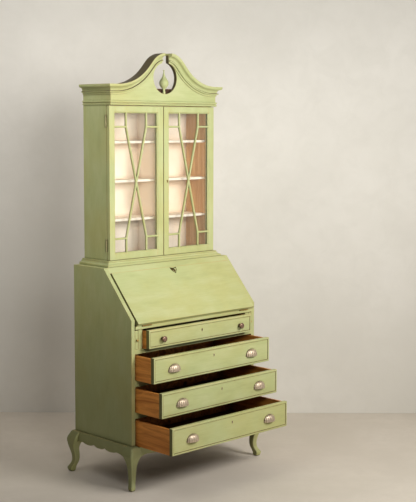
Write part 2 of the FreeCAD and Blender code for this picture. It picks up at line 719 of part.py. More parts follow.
def make_finial(board):
    """A turned bulb on a slim stem, standing in the round hole."""
    y = -(BOARD_FRONT + BOARD_BACK) / 2
    foot = HOLE_CENTRE - HOLE_RADIUS
    stem = [(7.5, 0), (7, 10), (7, 24), (10, 29)]
    bulb = [(10, 29), (19, 39), (24, 55), (19.5, 70), (11, 83), (6, 95), (3.2, 108), (2.6, 114)]
    tip = [(2.6, 114), (4.6, 118), (0, 122.5)]
    edges = [Part.makeLine(Vector(0, y, foot), Vector(stem[0][0], y, foot))]
    for run in (stem, bulb, tip):
        curve = Part.BSplineCurve()
        curve.interpolate([Vector(a, y, foot + b) for a, b in run])
        edges.append(curve.toShape())
    edges.append(Part.makeLine(Vector(0, y, foot + tip[-1][1]), Vector(0, y, foot)))
    turned = Part.Face(Part.Wire(edges)).revolve(Vector(0, y, 0), Z_AXIS, 360)
    put("finial", turned.cut(board))


# ---- bookcase --------------------------------------------------------------------------
def make_bookcase():
    side = prism_yz([(0, DESK_TOP), (-BOOKCASE_FRONT, DESK_TOP), (-BOOKCASE_FRONT, FRIEZE_BOTTOM),
                     (-BOARD_BACK, FRIEZE_BOTTOM), (-BOARD_BACK, SIDE_TOP), (0, SIDE_TOP)],
                    HALF_BAY, HALF_BOOKCASE)
    put("bookcase_sides", *pair(side))

    board = 18
    rail_top = 1952
    bottom = block(-HALF_BAY, HALF_BAY, -BOOKCASE_FRONT, BACK_FACE,
                   BOOKCASE_BOTTOM - board, BOOKCASE_BOTTOM)
    top = block(-HALF_BAY, HALF_BAY, -BOOKCASE_FRONT, BACK_FACE, rail_top - board, rail_top)
    rail = block(-HALF_BAY, HALF_BAY, -BOOKCASE_FRONT, -BOARD_BACK, FRIEZE_BOTTOM, rail_top)
    put("bookcase_boards", bottom, top, rail)
    put("bookcase_back", block(-HALF_BAY, HALF_BAY, BACK_FACE, 0, DESK_TOP, SIDE_TOP))

    partition_front = -150
    partition = block(-PARTITION_THICK / 2, PARTITION_THICK / 2, partition_front, BACK_FACE,
                      BOOKCASE_BOTTOM, rail_top - board)
    put("bookcase_partition", partition)
    shelves = []
    for level in SHELF_TOPS:
        shelves += pair(block(PARTITION_THICK / 2, HALF_BAY, -SHELF_FRONT, BACK_FACE,
                              level - SHELF_THICK, level))
    put("shelves", *shelves)


# ---- doors -----------------------------------------------------------------------------
DOOR_OUTER = HALF_BOOKCASE - 0.5
DOOR_INNER = 2.4
DOOR_LOW = BOOKCASE_BOTTOM + EDGE_GAP
DOOR_HIGH = FRIEZE_BOTTOM - 2.5
DOOR_FRONT = DOOR_BACK + DOOR_THICK
DOOR_AXIS_X = HALF_BOOKCASE + KNUCKLE_RADIUS + 0.4
DOOR_AXIS_Y = -(DOOR_BACK + BOOKCASE_FRONT) / 2
DOOR_HINGE_LENGTH = 64
DOOR_HINGE_Z = (1141, 1755)
GLASS_THICK = 3
REBATE = 6


def bar_solid(start, end):
    """A glazing bar with a rounded face between two points in the door plane."""
    (x0, z0), (x1, z1) = start, end
    length = math.hypot(x1 - x0, z1 - z0)
    angle = math.degrees(math.atan2(z1 - z0, x1 - x0))
    half, flat = BAR_WIDTH / 2, BAR_FLAT
    front, back = -DOOR_FRONT, -DOOR_BACK - REBATE - GLASS_THICK
    section = Part.Wire([
        Part.makeLine(Vector(0, back, -half), Vector(0, front + flat, -half)),
        arc(Vector(0, front + flat, -half), Vector(0, front, 0), Vector(0, front + flat, half)),
        Part.makeLine(Vector(0, front + flat, half), Vector(0, back, half)),
        Part.makeLine(Vector(0, back, half), Vector(0, back, -half)),
    ])
    bar = Part.Face(section).extrude(Vector(length, 0, 0))
    bar.rotate(Vector(0, 0, 0), Y_AXIS, -angle)
    bar.translate(Vector(x0, 0, z0))
    return bar


def bar_knot(x, z):
    """A round boss that joins the bars where they meet."""
    half, flat = BAR_WIDTH / 2, BAR_FLAT
    front, back = -DOOR_FRONT, -DOOR_BACK - REBATE - GLASS_THICK
    section = Part.Wire([
        Part.makeLine(Vector(0, back, 0), Vector(half, back, 0)),
        Part.makeLine(Vector(half, back, 0), Vector(half, front + flat, 0)),
        arc(Vector(half, front + flat, 0), Vector(half * BAR_SHOULDER[0], front + flat * BAR_SHOULDER[1], 0),
            Vector(0, front, 0)),
        Part.makeLine(Vector(0, front, 0), Vector(0, back, 0)),
    ])
    knot = Part.Face(section).revolve(Vector(0, 0, 0), Y_AXIS, 360)
    knot.translate(Vector(x, 0, z))
    return knot


def door_bars(x0, x1, z0, z1):
    """The glazing pattern: a tall cross tied to the frame by short square-set bars."""
    centre = (x0 + x1) / 2
    left, right = centre - BAR_OFFSET, centre + BAR_OFFSET
    joints = [(left, BAR_JOINT_TOP), (right, BAR_JOINT_TOP),
              (left, BAR_JOINT_BOTTOM), (right, BAR_JOINT_BOTTOM)]
    lines = [(joints[0], joints[3]), (joints[1], joints[2])]
    for x, z in joints:
        lines.append(((x, z), (x, z1 if z == BAR_JOINT_TOP else z0)))
        lines.append(((x, z), (x0 if x < centre else x1, z)))
    solids = [bar_solid(a, b) for a, b in lines] + [bar_knot(x, z) for x, z in joints]
    return fused(solids).common(block(x0, x1, -400, 0, z0, z1))


def make_doors():
    x0, x1 = DOOR_INNER, DOOR_OUTER
    s0, s1 = x0 + STILE_WIDTH, x1 - STILE_WIDTH
    r0, r1 = DOOR_LOW + RAIL_WIDTH, DOOR_HIGH - RAIL_WIDTH
    y0, y1 = -DOOR_FRONT, -DOOR_BACK
    glass_back = -DOOR_BACK - REBATE
    rebate = block(s0 - REBATE, s1 + REBATE, glass_back - GLASS_THICK, y1 + 1,
                   r0 - REBATE, r1 + REBATE)
    frame = [
        block(x0, s0, y0, y1, DOOR_LOW, DOOR_HIGH), block(s1, x1, y0, y1, DOOR_LOW, DOOR_HIGH),
        block(s0, s1, y0, y1, DOOR_LOW, r0), block(s0, s1, y0, y1, r1, DOOR_HIGH),
    ]
    opening = [[Vector(a, y, b) for a, b in ((s0 - grow, r0 - grow), (s1 + grow, r0 - grow),
                                             (s1 + grow, r1 + grow), (s0 - grow, r1 + grow))]
               for y, grow in ((y0, SIGHT_BEVEL), (y0 + SIGHT_BEVEL, 0))]
    bevel = Part.makeLoft([Part.makePolygon(loop + loop[:1]) for loop in opening], True, True)
    frame = [piece.cut(rebate).cut(bevel) for piece in frame]
    glass = block(s0 - REBATE + 0.5, s1 + REBATE - 0.5, glass_back - GLASS_THICK, glass_back,
                  r0 - REBATE + 0.5, r1 + REBATE - 0.5)
    # Thin strips behind the glass hold it in its rebate.
    strip_out = block(s0 - REBATE, s1 + REBATE, glass_back, y1, r0 - REBATE, r1 + REBATE)
    strips = strip_out.cut(block(s0, s1, glass_back - 1, y1 + 1, r0, r1))
    bars = door_bars(s0 - SIGHT_BEVEL, s1 + SIGHT_BEVEL, r0 - SIGHT_BEVEL, r1 + SIGHT_BEVEL)
    bars = bars.common(fused([bevel, block(s0, s1, y0, y1, r0, r1)]))

    door_leaves = []
    case_leaves = []
    pins = []
    for z in DOOR_HINGE_Z:
        axis = Vector(DOOR_AXIS_X, DOOR_AXIS_Y, z)
        reach = 18
        door_leaf = hinge_leaf(DOOR_HINGE_LENGTH, (1,), PIN_RADIUS + PIN_CLEARANCE, 0.05, 1, reach)
        case_leaf = hinge_leaf(DOOR_HINGE_LENGTH, (0, 2), PIN_RADIUS, -1, -0.05, reach)
        for leaf, into in ((door_leaf, door_leaves), (case_leaf, case_leaves)):
            leaf.rotate(Vector(0, 0, 0), Z_AXIS, 180)
            leaf.translate(axis)
            into.append(leaf)
        pin = hinge_pin(DOOR_HINGE_LENGTH)
        pin.translate(axis)
        pins.append(pin)

    key_x, key_z = DOOR_INNER + 23, 1480
    keyed = [with_keyhole(frame[0], key_x, y0, DOOR_THICK, key_z)] + frame[1:]
    for side, turn, pieces in (("right", lambda shape: shape, keyed), ("left", mirrored, frame)):
        put("door_%s_frame" % side, *[turn(piece) for piece in pieces])
        put("door_%s_glazing_bars" % side, turn(bars), turn(strips))
        put("door_%s_glass" % side, turn(glass))
        put("door_%s_hinge_leaves" % side, *[turn(leaf) for leaf in door_leaves])
    put("door_hinge_case_leaves", *case_leaves, *[mirrored(leaf) for leaf in case_leaves])
    put("door_key_plate", key_plate(key_x, y0, key_z))
    return pins + [mirrored(pin) for pin in pins]


# ---- build and save --------------------------------------------------------------------
make_case()
fall_pins = make_fall()
make_gallery()
make_lopers()
for drawer_number in DRAWERS:
    make_drawer(drawer_number)
make_base()
make_waist_moulding()
make_frieze_bead()
make_crown()
make_finial(make_pediment_board())
make_bookcase()
door_pins = make_doors()
put("hinge_pins", *fall_pins, *door_pins)

everything = Part.makeCompound(list(nodes.values()))
bounds = everything.optimalBoundingBox()
centre_shift = Vector(0, -round((bounds.YMin + bounds.YMax) / 2, 2), 0)
os.makedirs("parts", exist_ok=True)
for name, shape in nodes.items():
    shape.translate(centre_shift)
    shape.exportStep("parts/%s.step" % name)
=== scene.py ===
import json
import math

import bmesh
import bpy
from mathutils import Matrix, Vector


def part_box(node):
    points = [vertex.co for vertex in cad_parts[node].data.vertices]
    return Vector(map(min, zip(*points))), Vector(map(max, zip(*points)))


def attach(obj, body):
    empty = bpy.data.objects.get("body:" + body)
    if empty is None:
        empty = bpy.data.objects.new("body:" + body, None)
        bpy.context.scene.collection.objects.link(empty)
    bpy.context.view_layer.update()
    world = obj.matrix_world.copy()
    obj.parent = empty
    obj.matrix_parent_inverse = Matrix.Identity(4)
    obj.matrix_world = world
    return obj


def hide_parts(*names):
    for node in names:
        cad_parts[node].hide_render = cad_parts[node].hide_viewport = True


# Looks for a painted slant-front secretary desk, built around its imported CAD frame.
# Metres, +Z up, the front faces -Y. The four long drawers stand open by different amounts.

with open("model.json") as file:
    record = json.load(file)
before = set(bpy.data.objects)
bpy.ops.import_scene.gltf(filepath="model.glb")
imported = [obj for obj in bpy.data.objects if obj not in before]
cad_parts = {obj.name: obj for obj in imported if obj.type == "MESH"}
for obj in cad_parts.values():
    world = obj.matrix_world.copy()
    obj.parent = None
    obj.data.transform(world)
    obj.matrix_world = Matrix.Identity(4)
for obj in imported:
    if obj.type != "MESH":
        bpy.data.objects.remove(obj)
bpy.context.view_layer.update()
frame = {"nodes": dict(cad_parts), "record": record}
nodes = frame["nodes"]
body_of_node = {name: body for body, names in frame["record"]["behaviour"]["bodies"].items()
                for name in names}

# ---- directions ------------------------------------------------------------------------
ALONG_X, ALONG_Y, ALONG_Z = 0, 1, 2
SIDEWAYS = (1, 0, 0)
FORWARD = (0, -1, 0)
BACKWARD = (0, 1, 0)
UPWARD = (0, 0, 1)
SLOPE = math.radians(48.66)
OUT_OF_FALL = (0, -math.sin(SLOPE), math.cos(SLOPE))
BEAD_TILT = math.radians(40)
BEAD_TOP = (0, -math.sin(BEAD_TILT), math.cos(BEAD_TILT))

# ---- camera ----------------------------------------------------------------------------
CASE_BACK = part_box("case_back")[1].y
CAMERA_PLACE = Vector((-4.0335, CASE_BACK - 4.6211, 1.7771))
CAMERA_YAW = math.radians(-44.581)
CAMERA_PITCH = math.radians(-6.262)
CAMERA_ROLL = math.radians(0.17)
CAMERA_LENS = 83.29
SENSOR_WIDTH = 36


def make_camera():
    """The camera, at eye height, in front of the desk and to its left."""
    data = bpy.data.cameras.new("camera")
    data.lens = CAMERA_LENS
    data.sensor_width = SENSOR_WIDTH
    camera = bpy.data.objects.new("camera", data)
    camera.matrix_world = (
        Matrix.Translation(CAMERA_PLACE)
        @ Matrix.Rotation(CAMERA_YAW, 4, "Z")
        @ Matrix.Rotation(math.radians(90) + CAMERA_PITCH, 4, "X")
        @ Matrix.Rotation(CAMERA_ROLL, 4, "Z")
    )
    bpy.context.scene.collection.objects.link(camera)
    bpy.context.scene.camera = camera


# ---- material building -----------------------------------------------------------------
def screen(red, green, blue):
    """A linear colour from the 0-255 values that a screen shows."""
    def linear(value):
        value /= 255
        return value / 12.92 if value <= 0.04045 else ((value + 0.055) / 1.055) ** 2.4
    return (linear(red), linear(green), linear(blue), 1)


def stretched(axis, across, along):
    """A noise scale that is fine across one axis and long along it."""
    scale = [across] * 3
    scale[axis] = along
    return scale


class Finish:
    """A material with a Principled shader and short ways to add the nodes that feed it."""

    def __init__(self, name, roughness, metallic=0.0, specular=0.5):
        self.material = bpy.data.materials.new(name)
        self.material.use_nodes = True
        self.tree = self.material.node_tree
        self.shader = self.tree.nodes["Principled BSDF"]
        self.shader.inputs["Roughness"].default_value = roughness
        self.shader.inputs["Metallic"].default_value = metallic
        self.shader.inputs["Specular IOR Level"].default_value = specular
        self.coordinates = self.node("ShaderNodeTexCoord")
        self.place = self.coordinates.outputs["Object"]

    def node(self, kind, inputs=None, **settings):
        made = self.tree.nodes.new(kind)
        for key, value in settings.items():
            setattr(made, key, value)
        for key, value in (inputs or {}).items():
            self.feed(made.inputs[key], value)
        return made

    def feed(self, socket, value):
        if isinstance(value, bpy.types.NodeSocket):
            self.tree.links.new(value, socket)
        else:
            socket.default_value = value

    def calculate(self, operation, a, b=0.0):
        return self.node("ShaderNodeMath", {0: a, 1: b}, operation=operation).outputs[0]

    def position(self, axis):
        """The place on the object along X, Y or Z."""
        return self.node("ShaderNodeSeparateXYZ", {0: self.place}).outputs[axis]

    def stretch(self, scale):
        """The place on the object, with each axis multiplied by its own scale."""
        made = self.node("ShaderNodeVectorMath", {0: self.place, 1: scale},
                         operation="MULTIPLY")
        return made.outputs[0]

    def noise(self, vector, scale, detail=3.0, rough=0.55, distortion=0.0):
        """Cloudy noise. Most of it lies from 0.3 to 0.7, so fades of it start and end there."""
        made = self.node("ShaderNodeTexNoise", {
            "Vector": vector, "Scale": scale, "Detail": detail, "Roughness": rough,
            "Distortion": distortion})
        return made.outputs["Fac"]

    def fade(self, value, start, end, low=0.0, high=1.0):
        """A smooth step of a value from `low` at start to `high` at end."""
        made = self.node("ShaderNodeMapRange", {
            "Value": value, "From Min": start, "From Max": end, "To Min": low, "To Max": high},
            interpolation_type="SMOOTHSTEP")
        return made.outputs["Result"]

    def mix(self, share, first, second):
        """The first colour with a share of the second."""
        made = self.node("ShaderNodeMix", data_type="RGBA")
        self.feed(made.inputs["Factor"], share)
        self.feed(made.inputs[6], first)
        self.feed(made.inputs[7], second)
        return made.outputs[2]

    def edge(self, radius):
        """How far the surface turns within a radius: 0 on a flat, up to about 0.3 at an edge."""
        bevel = self.node("ShaderNodeBevel", {"Radius": radius}, samples=4)
        normal = self.node("ShaderNodeNewGeometry").outputs["Normal"]
        turn = self.node("ShaderNodeVectorMath", {0: bevel.outputs[0], 1: normal},
                         operation="DOT_PRODUCT")
        return self.calculate("SUBTRACT", 1.0, turn.outputs["Value"])

    def openness(self, distance):
        """1 on an open surface, and near 0 in a deep corner."""
        made = self.node("ShaderNodeAmbientOcclusion", {"Distance": distance}, samples=6)
        return made.outputs["AO"]

    def facing(self, direction):
        """Cosine between the surface's own normal at rest and a direction."""
        made = self.node("ShaderNodeVectorMath", {
            0: self.coordinates.outputs["Normal"], 1: direction}, operation="DOT_PRODUCT")
        return made.outputs["Value"]

    def bump(self, height, distance, strength=1.0):
        made = self.node("ShaderNodeBump", {
            "Height": height, "Distance": distance, "Strength": strength})
        self.feed(self.shader.inputs["Normal"], made.outputs["Normal"])

    def colour(self, value):
        self.feed(self.shader.inputs["Base Color"], value)

    def rough(self, value):
        self.feed(self.shader.inputs["Roughness"], value)


# ---- faces that a finish picks out: each gives 1 on them and 0 elsewhere ---------------
SQUARE_ON = 0.5
SLIGHTLY_UP = 0.25
INWARD_LIMIT = 0.05
PEDIMENT_END_MARGIN = 0.02
PEDIMENT_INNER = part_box("pediment_board")[1].x - PEDIMENT_END_MARGIN


def looks_up(finish):
    """Level faces, and the upper side of mouldings."""
    return finish.calculate("GREATER_THAN", finish.facing(UPWARD), SLIGHTLY_UP)


def looks_back(finish):
    return finish.calculate("GREATER_THAN", finish.facing(BACKWARD), SQUARE_ON)


def looks_inward(finish):
    """Faces of a side board that look to the middle of the desk.

    The place across the desk times the way the face turns is negative only for them."""
    turned = finish.calculate("MULTIPLY", finish.position("X"), finish.facing(SIDEWAYS))
    return finish.calculate("LESS_THAN", turned, -INWARD_LIMIT)


def under_fall(finish):
    """The side of the fall that becomes the writing surface."""
    return finish.calculate("LESS_THAN", finish.facing(OUT_OF_FALL), -SQUARE_ON)


def board_end(finish):
    """The left and right ends of a board that lies across the desk."""
    sideways = finish.calculate("ABSOLUTE", finish.facing(SIDEWAYS))
    return finish.calculate("GREATER_THAN", sideways, SQUARE_ON)


def sawn_edge(finish):
    """The sawn edges of the pediment board, but not its two outer ends."""
    front = finish.calculate("ABSOLUTE", finish.facing(BACKWARD))
    out = finish.calculate("ABSOLUTE", finish.position("X"))
    inner = finish.calculate("LESS_THAN", out, PEDIMENT_INNER)
    edge = finish.calculate("LESS_THAN", front, SQUARE_ON)
    return finish.calculate("MULTIPLY", edge, inner)


# ---- palette: a wood has its light, dark and knot colours ------------------------------
PALE_WOOD = (screen(222, 148, 68), screen(172, 102, 38), screen(70, 34, 10))
DARK_WOOD = (screen(104, 68, 36), screen(64, 38, 18), screen(36, 20, 10))
TAN_WOOD = (screen(220, 172, 108), screen(194, 140, 78), screen(136, 90, 46))
PAINT = screen(184, 190, 133)
PAINT_WARM = screen(188, 187, 124)
PAINT_PALE = screen(200, 202, 152)
WORN_WOOD = screen(198, 164, 104)
RUBBED_WOOD = screen(238, 196, 142)
# A warm brown, painted as shade in the corners of the cream paint.
CORNER_SHADE_BROWN = screen(186, 138, 90)
# A dark olive: grime in the paint's patches and strokes, and painted shade in corners, towards
# the floor and on board ends.
GRIME_AND_SHADE = screen(70, 66, 20)
CREAM = screen(255, 242, 222)
CREAM_WARM = screen(255, 234, 206)
DUST = screen(226, 232, 222)
DUST_SHADE = screen(205, 212, 198)


# ---- materials -------------------------------------------------------------------------
# How far wear, patina and painted corner shade reach from an edge or a corner.
PAINT_WEAR = 0.0035
PAINT_CORNER_SHADE = 0.012
WOOD_CORNER_SHADE = 0.06
CREAM_CORNER_SHADE = 0.055
SHELF_CORNER_SHADE = 0.01
METAL_RIM = 0.0025
METAL_HOLLOW = 0.009

# How deep the relief is.
BRUSH_RELIEF = 0.0004
GRAIN_RELIEF = 0.0005
CREAM_RELIEF = 0.0003
CAST_RELIEF = 0.0001
GLASS_RELIEF = 0.0008
TROWEL_RELIEF = 0.004

# How many clouds, streaks, spots or knots there are in a metre. A pair is for a finish with
# a direction: across it, then along it.
GRAIN_STREAKS = (26, 1.6)
GRAIN_PORES = (240, 7)
GRAIN_KNOTS = (9, 3.2)
PAINT_CLOUDS = 2.6
PAINT_PATCHES = (16, 6)
PAINT_STROKES = (330, 9)
PAINT_RUBBING = 38.0
CREAM_CLOUDS = 5.0
CREAM_STROKES = (190, 4)
GLASS_RIPPLES = 14.0
GLASS_FILM = 6.0
SPOTTED = 60.0
FINELY_SPOTTED = 90.0

# The heights between which the painted shade towards the floor fades out, and how much of it
# there is.
LOW_SHADE_FULL_BELOW = 0.3
LOW_SHADE_GONE_ABOVE = 1.25
HEAVY_LOW_SHADE = 0.55
SOME_LOW_SHADE = 0.45


def wood_colour(finish, along, light, dark, knot):
    """Streaked grain that runs along one axis, with a few knots, and its height."""
    warp = finish.noise(finish.stretch((3, 3, 3)), 1.0, 2.0)
    lines = finish.stretch(stretched(along, *GRAIN_STREAKS))
    pushed = finish.node("ShaderNodeVectorMath", {0: lines, 1: warp},
                         operation="ADD").outputs[0]
    streak = finish.noise(pushed, 1.0, 6.0, 0.62, 1.3)
    pores = finish.noise(finish.stretch(stretched(along, *GRAIN_PORES)), 1.0, 3.0, 0.6)
    cells = finish.node("ShaderNodeTexVoronoi", {
        "Vector": finish.stretch(stretched(along, *GRAIN_KNOTS)), "Scale": 1.0}, feature="F1")
    spot = finish.fade(cells.outputs["Distance"], 0.05, 0.17, 1.0, 0.0)
    wood = finish.mix(finish.fade(streak, 0.36, 0.66), light, dark)
    wood = finish.mix(finish.fade(pores, 0.5, 0.75, 0.0, 0.35), wood, dark)
    wood = finish.mix(finish.calculate("MULTIPLY", spot, 0.8), wood, knot)
    height = finish.calculate("ADD", streak, finish.calculate("MULTIPLY", pores, 0.5))
    return wood, height


def shade_towards_floor(finish, amount):
    """Painted shade that darkens the paint towards the floor, least of it on faces that look
    forward.
    """
    low_down = finish.fade(finish.position("Z"), LOW_SHADE_FULL_BELOW, LOW_SHADE_GONE_ABOVE, amount, 0.0)
    turned = finish.fade(finish.facing(FORWARD), 0.3, 0.9, 1.0, 0.1)
    return finish.calculate("MULTIPLY", low_down, turned)


def painted(name, stroke_axis, inside=None, lining=DARK_WOOD, lining_axis=ALONG_X,
            low_shade=0.0, darkened=None, dark_colour=DARK_WOOD[1], rubbed=None):
    """Old brushed paint, worn at its edges, with painted shade in its corners and grooves.

    `inside` picks faces that show a lining wood. A second picker gives faces that take one dark
    colour: painted shade on the ends of the fall and the drawer fronts, and dark brown on the
    crown's tops and the pediment board's sawn edges. Another argument sets how much painted shade
    darkens the paint towards the floor, and
    `rubbed` is the direction faced by the parts of a moulding that hands have worn."""
    finish = Finish(name, 0.5, specular=0.4)
    patches = finish.stretch(stretched(stroke_axis, *PAINT_PATCHES))
    strokes = finish.stretch(stretched(stroke_axis, *PAINT_STROKES))
    wide = finish.noise(finish.place, PAINT_CLOUDS, 4.0)
    patch = finish.noise(patches, 1.0, 5.0, 0.6)
    stroke = finish.noise(strokes, 1.0, 4.0, 0.65, 0.4)
    paint = finish.mix(finish.fade(wide, 0.35, 0.65), PAINT, PAINT_WARM)
    paint = finish.mix(finish.fade(patch, 0.4, 0.72, 0.0, 0.5), paint, PAINT_PALE)
    paint = finish.mix(finish.fade(patch, 0.28, 0.45, 0.08, 0.0), paint, GRIME_AND_SHADE)
    paint = finish.mix(finish.fade(stroke, 0.4, 0.8, 0.0, 0.13), paint, GRIME_AND_SHADE)
    # Painted shade: the paint darkens towards the floor, on faces that don't look forward.
    if low_shade:
        paint = finish.mix(shade_towards_floor(finish, low_shade), paint, GRIME_AND_SHADE)

    rub = finish.fade(finish.noise(finish.place, PAINT_RUBBING, 6.0, 0.7),
                      0.38, 0.6, 0.15, 2.4)
    worn = finish.calculate("MULTIPLY", finish.edge(PAINT_WEAR), rub)
    worn = finish.fade(worn, 0.05, 0.22, 0.0, 0.8)
    # Painted shade: the paint darkens in corners and grooves, where shade falls.
    corner_shade = finish.fade(finish.openness(PAINT_CORNER_SHADE), 0.3, 0.85, 0.9, 0.0)
    paint = finish.mix(worn, paint, WORN_WOOD)
    paint = finish.mix(corner_shade, paint, GRIME_AND_SHADE)
    if inside:
        wood, _ = wood_colour(finish, lining_axis, *lining)
        paint = finish.mix(inside(finish), paint, wood)
    if rubbed:
        touched = finish.fade(finish.facing(rubbed), 0.93, 0.98, 0.0, 0.75)
        touched = finish.calculate("MULTIPLY", touched, finish.fade(patch, 0.36, 0.56))
        paint = finish.mix(touched, paint, RUBBED_WOOD)
    # Painted shade on the ends of the fall and the drawer fronts; a dark brown on the crown's
    # tops and the pediment board's sawn edges.
    if darkened:
        darkening = finish.calculate("MULTIPLY", darkened(finish), 0.85)
        paint = finish.mix(darkening, paint, dark_colour)
    finish.colour(paint)
    finish.rough(finish.fade(patch, 0.3, 0.7, 0.44, 0.6))
    relief = finish.calculate("ADD", finish.calculate("MULTIPLY", stroke, 0.6), patch)
    finish.bump(finish.calculate("SUBTRACT", relief, worn), BRUSH_RELIEF, 0.6)
    return finish.material


def wooden(name, along, palette, roughness):
    """Unfinished wood, with painted shade in its corners."""
    finish = Finish(name, roughness, specular=0.35)
    colour, height = wood_colour(finish, along, *palette)
    # Painted shade: the wood darkens to its knot colour in corners.
    corner_shade = finish.fade(finish.openness(WOOD_CORNER_SHADE), 0.25, 0.9, 0.6, 0.0)
    finish.colour(finish.mix(corner_shade, colour, palette[2]))
    finish.bump(height, GRAIN_RELIEF, 0.5)
    return finish.material


def cream(name, tone, warm, shade_reach):
    """Cream paint with painted shade, a warm brown, within a reach of its corners."""
    finish = Finish(name, 0.6)
    patch = finish.noise(finish.place, CREAM_CLOUDS, 4.0)
    strokes = finish.stretch(stretched(ALONG_Z, *CREAM_STROKES))
    stroke = finish.noise(strokes, 1.0, 3.0)
    colour = finish.mix(finish.fade(patch, 0.35, 0.7), tone, warm)
    colour = finish.mix(finish.fade(stroke, 0.4, 0.8, 0.0, 0.1), colour, WORN_WOOD)
    # Painted shade: the cream turns warm brown in corners, where shade falls.
    corner_shade = finish.fade(finish.openness(shade_reach), 0.25, 0.7, 0.7, 0.0)
    finish.colour(finish.mix(corner_shade, colour, CORNER_SHADE_BROWN))
    finish.bump(stroke, CREAM_RELIEF, 0.5)
    return finish.material


def metal(name, bright, darkening, roughness, tarnish_scale):
    """Cast metal, bright where hands rub it and brown in its hollows."""
    finish = Finish(name, roughness, metallic=0.7)
    spots = finish.noise(finish.place, tarnish_scale, 6.0, 0.65)
    fine = finish.noise(finish.place, tarnish_scale * 6, 3.0)
    rim = finish.fade(finish.edge(METAL_RIM), 0.03, 0.25, 0.0, 0.6)
    hollow = finish.fade(finish.openness(METAL_HOLLOW), 0.55, 1.0, 1.0, 0.0)
    colour = finish.mix(finish.fade(spots, 0.42, 0.7, 0.0, 0.4), bright, darkening)
    colour = finish.mix(hollow, colour, darkening)
    finish.colour(finish.mix(rim, colour, bright))
    finish.rough(finish.fade(spots, 0.3, 0.7, roughness - 0.08, roughness + 0.16))
    finish.bump(fine, CAST_RELIEF, 0.3)
    return finish.material


def window_glass(name):
    """Thin old glass: nearly clear, with a faint ripple and a soft film of dust."""
    finish = Finish(name, 0.06)
    ripple = finish.noise(finish.place, GLASS_RIPPLES, 2.0)
    film = finish.noise(finish.place, GLASS_FILM, 4.0)
    finish.colour(finish.mix(film, DUST, DUST_SHADE))
    finish.shader.inputs["Alpha"].default_value = 0.05
    finish.bump(ripple, GLASS_RELIEF, 0.4)
    return finish.material


def matt(name, tone, shade, scale):
    """A dull, mottled surface, such as plaster, or the painted shadow and dirt on the lock
    plate's rim.
    """
    finish = Finish(name, 0.9, specular=0.2)
    wide = finish.noise(finish.place, scale, 6.0, 0.62)
    trowel = finish.noise(finish.place, scale * 9, 5.0, 0.6, 0.6)
    colour = finish.mix(finish.fade(wide, 0.3, 0.7), tone, shade)
    finish.colour(finish.mix(finish.fade(trowel, 0.35, 0.75, 0.0, 0.5), colour, shade))
    finish.bump(trowel, TROWEL_RELIEF, 0.35)
    return finish


def clear_from_behind(finish):
    """Lets a camera behind a one-sided wall see through it."""
    behind = finish.node("ShaderNodeNewGeometry").outputs["Backfacing"]
    clear = finish.node("ShaderNodeBsdfTransparent").outputs[0]
    both = finish.node("ShaderNodeMixShader", {
        0: behind, 1: finish.shader.outputs[0], 2: clear})
    finish.feed(finish.tree.nodes["Material Output"].inputs["Surface"], both.outputs[0])


# ---- meshes ----------------------------------------------------------------------------
WELD = 1e-6
CREASE = math.radians(50)
FIELD_DEPTH = 0.0015

CUP_WIDTH = 0.039
CUP_REACH = 0.022
CUP_HEIGHT = 0.035
CUP_WALL = 0.002
CUP_FLANGE = 0.0025
CUP_PLATE = 0.0014
CUP_LOBES = 7
CUP_COLUMNS = CUP_LOBES * 8
CUP_ROWS = 14
CUP_CLOSE = math.radians(88)
FLUTE_DEPTH = 0.17
FLUTE_FADE = 1.35
FLUTE_SHARPNESS = 0.7
FLUTE_END_FADE = 0.3
SIDE_FULLNESS = 0.62
FRONT_FULLNESS = 0.75

LOCK_RIM = 0.0042
LOCK_SUNK = 0.0004
LOCK_FLAT = math.radians(0.3)
LOCK_FACES_OUT = 0.9

KEY_EYE = 0.0026
KEY_SLOT = 0.0013
KEY_RISE = 0.003
KEY_DROP = 0.006
KEY_RIM = 0.0012
KEY_PROUD = 0.0008
KEY_LET_IN = 0.003
KEY_BELOW_TOP = 0.038
KEY_STEPS = 20


def add_piece(name, edit, node, material):
    """Turns an edited mesh into a piece that rides and stands in for one CAD node."""
    mesh = bpy.data.meshes.new(name)
    edit.to_mesh(mesh)
    edit.free()
    mesh.materials.append(material)
    piece = bpy.data.objects.new(name, mesh)
    bpy.context.scene.collection.objects.link(piece)
    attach(piece, body_of_node[node])
    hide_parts(node)
    return mesh


def shell_grid(inset, groove):
    """Rings of a quarter dome: each ring crosses from left to right at one height.

    The dome is fluted at its open lip, and the flutes fade out towards the crown."""
    rings = []
    for row in range(CUP_ROWS + 1):
        up = CUP_CLOSE * row / CUP_ROWS
        depth = groove * max(0, math.cos(up * FLUTE_FADE))
        ring = []
        for column in range(CUP_COLUMNS + 1):
            turn = math.pi * (column / CUP_COLUMNS - 0.5)
            lobe = abs(math.sin(CUP_LOBES * (turn + math.pi / 2))) ** FLUTE_SHARPNESS
            size = 1 - depth * (1 - lobe) * math.cos(turn) ** FLUTE_END_FADE
            half_width = (CUP_WIDTH - inset) * math.cos(up) ** SIDE_FULLNESS
            reach = (CUP_REACH - inset) * math.cos(up) ** FRONT_FULLNESS
            ring.append(Vector((half_width * math.sin(turn) * size,
                                -reach * math.cos(turn) * size,
                                (CUP_HEIGHT - inset) * math.sin(up))))
        rings.append(ring)
    return rings


def prism(edit, origin, outline, depth):
    """A flat outline pushed straight out into a closed plate."""
    near = [edit.verts.new(origin + point + depth) for point in outline]
    far = [edit.verts.new(origin + point) for point in outline]
    edit.faces.new(near)
    edit.faces.new(far[::-1])
    for a in range(len(outline)):
        b = (a + 1) % len(outline)
        edit.faces.new([far[a], far[b], near[b], near[a]])


